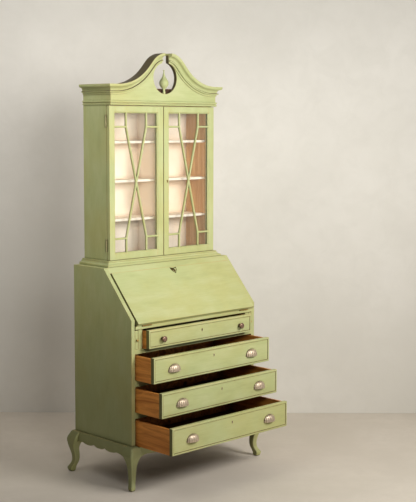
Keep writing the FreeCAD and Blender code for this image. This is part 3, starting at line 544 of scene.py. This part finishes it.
def cup_pull(edit, centre):
    """A fluted shell pull, hollow and open below, on a thin back plate."""
    outside, inside = [
        [[edit.verts.new(centre + point) for point in ring] for ring in shell_grid(*shape)]
        for shape in ((0, FLUTE_DEPTH), (CUP_WALL, 0))]
    for skin, order in ((outside, 1), (inside, -1)):
        for lower, upper in zip(skin, skin[1:]):
            for a in range(CUP_COLUMNS):
                quad = [lower[a], lower[a + 1], upper[a + 1], upper[a]]
                edit.faces.new(quad[::order])
    for a in range(CUP_COLUMNS):
        edit.faces.new([inside[0][a], inside[0][a + 1], outside[0][a + 1], outside[0][a]])
        edit.faces.new([outside[-1][a], outside[-1][a + 1], inside[-1][a + 1], inside[-1][a]])
    for end, order in ((0, 1), (-1, -1)):
        for row in range(CUP_ROWS):
            quad = [outside[row][end], outside[row + 1][end],
                    inside[row + 1][end], inside[row][end]]
            edit.faces.new(quad[::order])

    arch = [math.pi * step / CUP_COLUMNS for step in range(CUP_COLUMNS + 1)]
    outline = [Vector(((CUP_WIDTH + CUP_FLANGE) * math.cos(angle), 0,
                       (CUP_HEIGHT + CUP_FLANGE) * math.sin(angle))) for angle in arch]
    prism(edit, centre, outline, Vector((0, -CUP_PLATE, 0)))


def keyhole_ring(grow):
    """The outline of a keyhole: a round eye over a straight slot."""
    radius = KEY_EYE + grow
    half_slot = KEY_SLOT + grow
    start = math.asin(half_slot / radius)
    ring = []
    for step in range(KEY_STEPS + 1):
        angle = start + (2 * math.pi - 2 * start) * step / KEY_STEPS - math.pi / 2
        ring.append(Vector((radius * math.cos(angle), 0, KEY_RISE + radius * math.sin(angle))))
    return ring + [Vector((-half_slot, 0, -KEY_DROP - grow)),
                   Vector((half_slot, 0, -KEY_DROP - grow))]


def key_lining(edit, centre):
    """A thin keyhole-shaped lining that stands a little proud of the drawer front."""
    loops = []
    for grow, depth in ((0, -KEY_PROUD), (KEY_RIM, -KEY_PROUD), (KEY_RIM, KEY_LET_IN),
                        (0, KEY_LET_IN)):
        place = centre + Vector((0, depth, 0))
        loops.append([edit.verts.new(place + point) for point in keyhole_ring(grow)])
    for loop, following in zip(loops, loops[1:] + loops[:1]):
        for a in range(len(loop)):
            b = (a + 1) % len(loop)
            edit.faces.new([loop[a], following[a], following[b], loop[b]])


def make_cup_pulls(number, material):
    """Two cup pulls and the key lining between them, on one drawer front."""
    node = "drawer_%d_pulls" % number
    low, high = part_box("drawer_%d_front" % number)
    pull_low, pull_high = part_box(node)
    face = low.y + FIELD_DEPTH
    offset = pull_high.x - CUP_WIDTH - CUP_FLANGE
    edit = bmesh.new()
    for side in (-1, 1):
        cup_pull(edit, Vector((side * offset, face, pull_low.z)))
    key_lining(edit, Vector((0, face, high.z - KEY_BELOW_TOP)))
    bmesh.ops.remove_doubles(edit, verts=edit.verts, dist=WELD)
    bmesh.ops.recalc_face_normals(edit, faces=edit.faces)
    mesh = add_piece(node + "_shell", edit, node, material)
    mesh.shade_smooth()
    mesh.set_sharp_from_angle(angle=CREASE)


def make_lock_plate(paint, rim_shadow_paint):
    """The fall's lock plate with a sunk field, and a dark rim of painted shadow and dirt."""
    node = "fall_lock_plate"
    edit = bmesh.new()
    edit.from_mesh(nodes[node].data)
    bmesh.ops.remove_doubles(edit, verts=edit.verts, dist=WELD)
    bmesh.ops.dissolve_limit(edit, angle_limit=LOCK_FLAT, verts=edit.verts, edges=edit.edges)
    outer = [face for face in edit.faces if face.normal.dot(Vector(OUT_OF_FALL)) > LOCK_FACES_OUT]
    field = max(outer, key=lambda face: face.calc_area())
    bmesh.ops.inset_individual(edit, faces=[field], thickness=LOCK_RIM, depth=-LOCK_SUNK,
                               use_even_offset=True)
    edit.faces.index_update()
    field_index = field.index
    mesh = add_piece(node + "_shadowed_rim", edit, node, paint)
    mesh.materials.append(rim_shadow_paint)
    for face in mesh.polygons:
        face.material_index = 0 if face.index == field_index else 1


# ---- stage -----------------------------------------------------------------------------
FLOOR_REACH = 9
FLOOR_LEVEL = -0.001
WALL_REACH = 5
WALL_DISTANCE = 7.03
LIGHT_COLOUR = (1.0, 0.99, 0.97)
ROOM_COLOUR = (1.0, 0.985, 0.97, 1)
ROOM_LIGHT = 0.11
# Name, place, what it points at, width, watts and spread in degrees.
LIGHTS = (
    ("key_light", (0.5, -2.7, 2.2), (0, 0, 1.3), 1.2, 69, 180),
    ("left_light", (-1.4, -2.1, 1.9), (-0.1, 0.1, 1.6), 0.9, 6.5, 70),
    ("top_light", (-2.2, -0.2, 3.6), (-0.6, 0.5, 1.6), 1.6, 2.5, 180),
    ("wall_light", (-1.3, 0.3, 3.0), (0.1, 1.5, 1.3), 1.0, 6, 110),
)


def flat_sheet(name, corners, material):
    """One flat face of the stage, which isn't part of the desk."""
    mesh = bpy.data.meshes.new(name)
    mesh.from_pydata(corners, [], [tuple(range(len(corners)))])
    mesh.materials.append(material)
    sheet = bpy.data.objects.new(name, mesh)
    bpy.context.scene.collection.objects.link(sheet)


def make_stage():
    """A pale floor, and a pale wall square to the camera's view."""
    floor = matt("stage_floor", screen(232, 222, 208), screen(222, 212, 197), 1.5)
    corners = [(x * FLOOR_REACH, y * FLOOR_REACH, FLOOR_LEVEL)
               for x, y in ((-1, -1), (1, -1), (1, 1), (-1, 1))]
    flat_sheet("stage_floor", corners, floor.material)
    ahead = Vector((-math.sin(CAMERA_YAW), math.cos(CAMERA_YAW), 0))
    aside = Vector((ahead.y, -ahead.x, 0)) * WALL_REACH
    foot = Vector((CAMERA_PLACE.x, CAMERA_PLACE.y, 0)) + ahead * WALL_DISTANCE
    up = Vector(UPWARD) * WALL_REACH
    wall = matt("stage_wall", screen(240, 236, 227), screen(228, 224, 214), 0.8)
    clear_from_behind(wall)
    flat_sheet("stage_wall", [foot - aside, foot + aside, foot + aside + up,
                              foot - aside + up], wall.material)


def area_light(name, place, target, size, power, spread):
    """A soft round light that the camera doesn't see."""
    data = bpy.data.lights.new(name, "AREA")
    data.shape = "DISK"
    data.size = size
    data.energy = power
    data.spread = math.radians(spread)
    data.color = LIGHT_COLOUR
    light = bpy.data.objects.new(name, data)
    light.location = place
    light.visible_camera = False
    direction = Vector(target) - Vector(place)
    light.rotation_euler = direction.to_track_quat("-Z", "Y").to_euler()
    bpy.context.scene.collection.objects.link(light)


def make_lights():
    """Four soft lights and a dim room. The plain view transform keeps the paint's colour."""
    for light in LIGHTS:
        area_light(*light)
    world = bpy.data.worlds.new("studio")
    bpy.context.scene.world = world
    world.use_nodes = True
    background = world.node_tree.nodes["Background"]
    background.inputs["Color"].default_value = ROOM_COLOUR
    background.inputs["Strength"].default_value = ROOM_LIGHT
    bpy.context.scene.view_settings.view_transform = "Standard"


# ---- putting it together ---------------------------------------------------------------
make_camera()
make_stage()
make_lights()

upright = painted("paint_upright", ALONG_Z)
across = painted("paint_across", ALONG_X)
# Legs, aprons and the lower case sides darken towards the floor with painted shade.
leg_paint = painted("paint_legs", ALONG_Z, low_shade=HEAVY_LOW_SHADE)
apron_paint = painted("paint_aprons", ALONG_X, low_shade=HEAVY_LOW_SHADE)
side_paint = painted("paint_sides", ALONG_Z, looks_inward, DARK_WOOD, ALONG_Z,
                     low_shade=SOME_LOW_SHADE)
tall_side_paint = painted("paint_tall_sides", ALONG_Z, looks_inward, TAN_WOOD, ALONG_Z)
# The crown's tops and the pediment board's sawn edges are painted dark brown.
crown_paint = painted("paint_crown", ALONG_X, darkened=looks_up)
board_paint = painted("paint_pediment", ALONG_X, darkened=sawn_edge)
# The ends of the fall and the drawer fronts are painted dark as shade.
fall_paint = painted("paint_fall", ALONG_X, under_fall, darkened=board_end, dark_colour=GRIME_AND_SHADE)
front_paint = painted("paint_drawer_fronts", ALONG_X, looks_back, darkened=board_end,
                      dark_colour=GRIME_AND_SHADE, rubbed=BEAD_TOP)
bed_paint = painted("paint_bed", ALONG_X, looks_up)
drawer_wood = wooden("drawer_wood", ALONG_Y, PALE_WOOD, 0.55)
bottom_wood = wooden("drawer_bottom_wood", ALONG_X, DARK_WOOD, 0.6)
carcass_wood = wooden("carcass_wood", ALONG_X, DARK_WOOD, 0.65)
cream_paint = cream("cream_paint", CREAM, CREAM_WARM, CREAM_CORNER_SHADE)
shelf_paint = cream("shelf_paint", CREAM, CREAM, SHELF_CORNER_SHADE)
cup_metal = metal("aged_metal", screen(214, 194, 168), screen(74, 46, 26), 0.42, SPOTTED)
knob_metal = metal("knob_bronze", screen(160, 128, 108), screen(34, 20, 12), 0.3, FINELY_SPOTTED)
# The lock plate's rim: painted shadow and dirt, in dark brown.
lock_rim_shadow = matt("lock_rim_shadow", screen(92, 78, 38), screen(48, 38, 16),
                   FINELY_SPOTTED).material
brass = metal("hinge_brass", screen(196, 160, 92), screen(90, 62, 30), 0.34,
              FINELY_SPOTTED)
painted_hinge = metal("painted_hinge", screen(168, 160, 118), screen(96, 84, 48), 0.5,
                      FINELY_SPOTTED)
old_glass = window_glass("old_glass")

BY_SLOT = {
    "green_paint": upright,
    "cream_paint": cream_paint,
    "carcass_wood": carcass_wood,
    "drawer_wood": drawer_wood,
    "aged_metal": cup_metal,
    "hinge_brass": brass,
    "glass": old_glass,
}
BY_NAME = {
    "shelves": shelf_paint,
    "case_sides": side_paint,
    "bookcase_sides": tall_side_paint,
    "fall_panel": fall_paint,
    "writing_bed": bed_paint,
    "crown_moulding": crown_paint,
    "pediment_board": board_paint,
    "aprons": apron_paint,
    "drawer_1_pulls": knob_metal,
    "door_hinge_case_leaves": painted_hinge,
    "door_left_hinge_leaves": painted_hinge,
    "door_right_hinge_leaves": painted_hinge,
}
for name in ("desk_top", "drawer_rails", "waist_moulding", "frieze_bead", "fall_lock_plate"):
    BY_NAME[name] = across
for number in (1, 2, 3, 4):
    BY_NAME["drawer_%d_front" % number] = front_paint
    BY_NAME["drawer_%d_bottom" % number] = bottom_wood

for name, node in nodes.items():
    if name.startswith("leg_"):
        material = leg_paint
    elif name in BY_NAME:
        material = BY_NAME[name]
    else:
        material = BY_SLOT[node.data.materials[0].name]
    node.material_slots[0].material = material

for number in (2, 3, 4):
    make_cup_pulls(number, cup_metal)
make_lock_plate(across, lock_rim_shadow)
